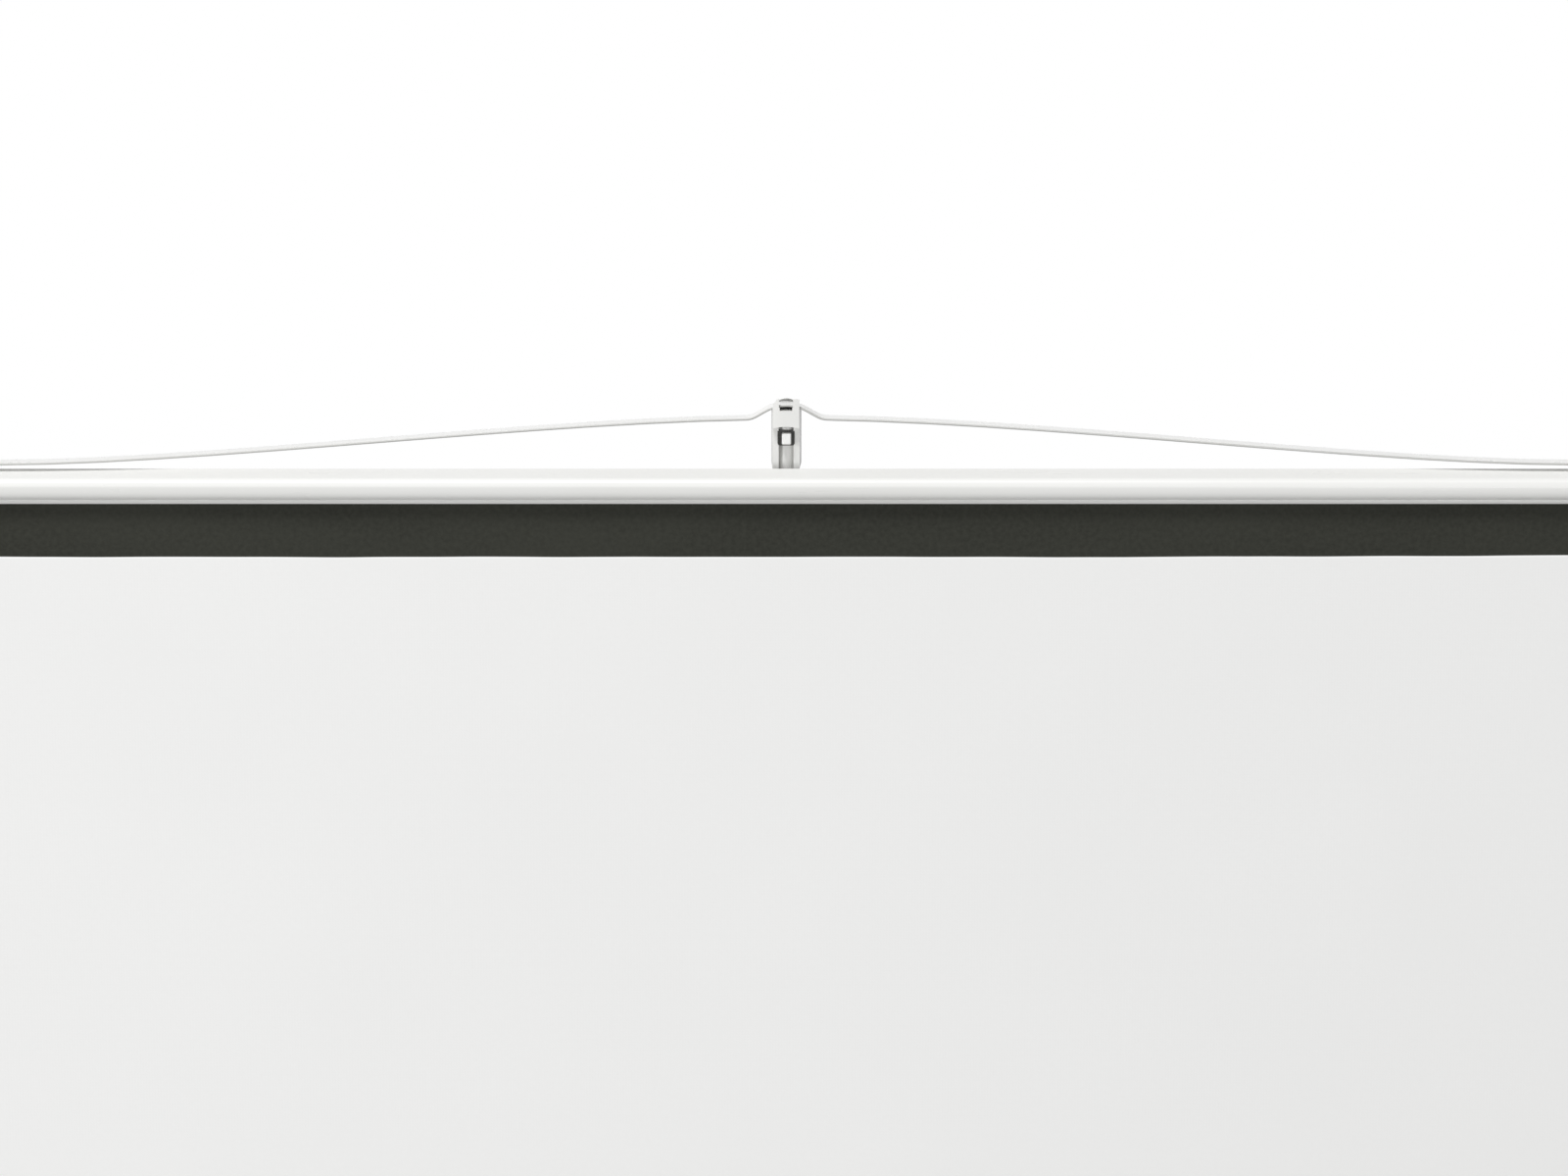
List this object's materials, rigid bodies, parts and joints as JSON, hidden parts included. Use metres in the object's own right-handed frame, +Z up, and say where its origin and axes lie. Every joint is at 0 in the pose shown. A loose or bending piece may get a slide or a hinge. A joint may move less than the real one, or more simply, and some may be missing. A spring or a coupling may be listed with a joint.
{
  "type": "tripod projector screen",
  "caption": "Free-standing pull-up projector screen: fabric on a spring roller in a pivoting case, hung by a bow handle from a telescopic column on folding legs.",
  "frame": {"origin": "on the floor, at the middle of the bounding box", "axes": "+Z up; the viewer looks along +Y at the fabric, so the screen faces -Y; +X to the viewer's right"},
  "size_m": [1.3706, 0.662, 2.398],
  "materials": {
    "white_paint": "smooth white powder coat",
    "batten_paint": "white coated extrusion, satin",
    "white_plastic": "moulded, satin",
    "grey_plastic": "fine moulded grain",
    "rubber": "matt",
    "steel": "zinc plated",
    "screen_cloth": "matt white coated cloth with a black border"
  },
  "bodies": {
    "stand": {"outer_column": "white_paint", "column_base_plug": "grey_plastic", "column_top_collar": "white_plastic", "leg_hub": "white_plastic", "leg_pin_1": "steel", "leg_pin_2": "steel", "leg_pin_3": "steel"},
    "strut_collar_body": {"strut_collar": "white_plastic"},
    "extension_body": {"extension_tube": "white_paint", "extension_glide": "grey_plastic", "hook_head": "white_plastic", "hook_rivet": "steel", "hook_button_spring": "steel"},
    "hook_button_body": {"hook_button": "white_plastic"},
    "column_knob_body": {"column_knob": "grey_plastic"},
    "slider_body": {"case_slider": "white_plastic", "case_pivot_pin": "steel"},
    "slider_knob_body": {"slider_knob": "grey_plastic"},
    "case_body": {"swivel_plate": "white_paint", "swivel_screw_1": "steel", "swivel_screw_2": "steel", "case_shell": "white_paint", "case_cap_left": "white_plastic", "case_cap_right": "white_plastic", "gudgeon_pin": "steel", "spring_rod": "steel", "carry_handle": "grey_plastic"},
    "roller_body": {"roller_tube": "steel", "fabric_roll": "screen_cloth", "roller_plug_left": "grey_plastic", "roller_plug_right": "grey_plastic", "roller_spring": "steel", "spring_anchor": "grey_plastic"},
    "batten_body": {"batten": "batten_paint", "batten_cap_left": "white_plastic", "batten_cap_right": "white_plastic", "screen_fabric": "screen_cloth", "handle_bow": "white_paint", "bow_clip_left": "white_plastic", "bow_clip_right": "white_plastic"},
    "leg_1_body": {"leg_1": "white_paint", "foot_1": "rubber", "strut_rivet_1": "steel"},
    "strut_1_body": {"strut_1": "white_paint"},
    "leg_2_body": {"leg_2": "white_paint", "foot_2": "rubber", "strut_rivet_2": "steel"},
    "strut_2_body": {"strut_2": "white_paint"},
    "leg_3_body": {"leg_3": "white_paint", "foot_3": "rubber", "strut_rivet_3": "steel"},
    "strut_3_body": {"strut_3": "white_paint"}
  },
  "joints": [
    {"name": "leg_1_fold", "type": "hinge", "parent": "stand", "child": "leg_1_body", "pos_m": [0.02771, -0.121, 0.305], "axis": [-0.5, -0.866, 0], "range_deg": [-53, 0]},
    {"name": "leg_2_fold", "type": "hinge", "parent": "stand", "child": "leg_2_body", "pos_m": [-0.02771, -0.121, 0.305], "axis": [-0.5, 0.866, 0], "range_deg": [-53, 0]},
    {"name": "leg_3_fold", "type": "hinge", "parent": "stand", "child": "leg_3_body", "pos_m": [0, -0.073, 0.305], "axis": [1, 0, 0], "range_deg": [-53, 0]},
    {"name": "strut_1_fold", "type": "hinge", "parent": "leg_1_body", "child": "strut_1_body", "pos_m": [0.11085, -0.169, 0.233], "axis": [-0.5, -0.866, 0], "range_deg": [0, 106]},
    {"name": "strut_2_fold", "type": "hinge", "parent": "leg_2_body", "child": "strut_2_body", "pos_m": [-0.11085, -0.169, 0.233], "axis": [-0.5, 0.866, 0], "range_deg": [0, 106]},
    {"name": "strut_3_fold", "type": "hinge", "parent": "leg_3_body", "child": "strut_3_body", "pos_m": [0, 0.023, 0.233], "axis": [1, 0, 0], "range_deg": [0, 106]},
    {"name": "strut_collar_slide", "type": "slide", "parent": "stand", "child": "strut_collar_body", "axis": [0, 0, 1], "range_m": [-0.0962, 0]},
    {"name": "column_extension", "type": "slide", "parent": "stand", "child": "extension_body", "axis": [0, 0, 1], "range_m": [-0.9, 0]},
    {"name": "hook_button_press", "type": "slide", "parent": "extension_body", "child": "hook_button_body", "axis": [0, 1, 0], "range_m": [0, 0.002], "stiffness_N_per_m": 400, "springref_m": -0.003, "deforming": ["hook_button_spring"]},
    {"name": "column_knob_turn", "type": "hinge", "parent": "stand", "child": "column_knob_body", "pos_m": [0, -0.081, 1.412], "axis": [0, 1, 0], "continuous": true},
    {"name": "case_height", "type": "slide", "parent": "stand", "child": "slider_body", "axis": [0, 0, 1], "range_m": [-0.3, 0.15]},
    {"name": "slider_knob_turn", "type": "hinge", "parent": "slider_body", "child": "slider_knob_body", "pos_m": [0, -0.085, 1.01], "axis": [0, 1, 0], "continuous": true},
    {"name": "case_fold", "type": "hinge", "parent": "slider_body", "child": "case_body", "pos_m": [0, -0.124, 1.01], "axis": [0, -1, 0], "range_deg": [-90, 0]},
    {"name": "screen_pull", "type": "slide", "parent": "case_body", "child": "batten_body", "axis": [0, 0, 1], "range_m": [-1.279, 0], "deforming": ["screen_fabric", "handle_bow"]},
    {"name": "roller_spin", "type": "hinge", "parent": "case_body", "child": "roller_body", "pos_m": [0, -0.1617, 1.01], "axis": [1, 0, 0], "range_deg": [-3600, 0]}
  ],
  "couplings": [
    {"joint": "leg_2_fold", "follows": "leg_1_fold", "ratio": 1},
    {"joint": "leg_3_fold", "follows": "leg_1_fold", "ratio": 1},
    {"joint": "strut_1_fold", "follows": "leg_1_fold", "ratio": -2},
    {"joint": "strut_2_fold", "follows": "leg_1_fold", "ratio": -2},
    {"joint": "strut_3_fold", "follows": "leg_1_fold", "ratio": -2},
    {"joint": "strut_collar_slide", "follows": "leg_1_fold", "m_per_rad": 0.10378},
    {"joint": "roller_spin", "follows": "screen_pull", "rad_per_m": 48.309}
  ]
}
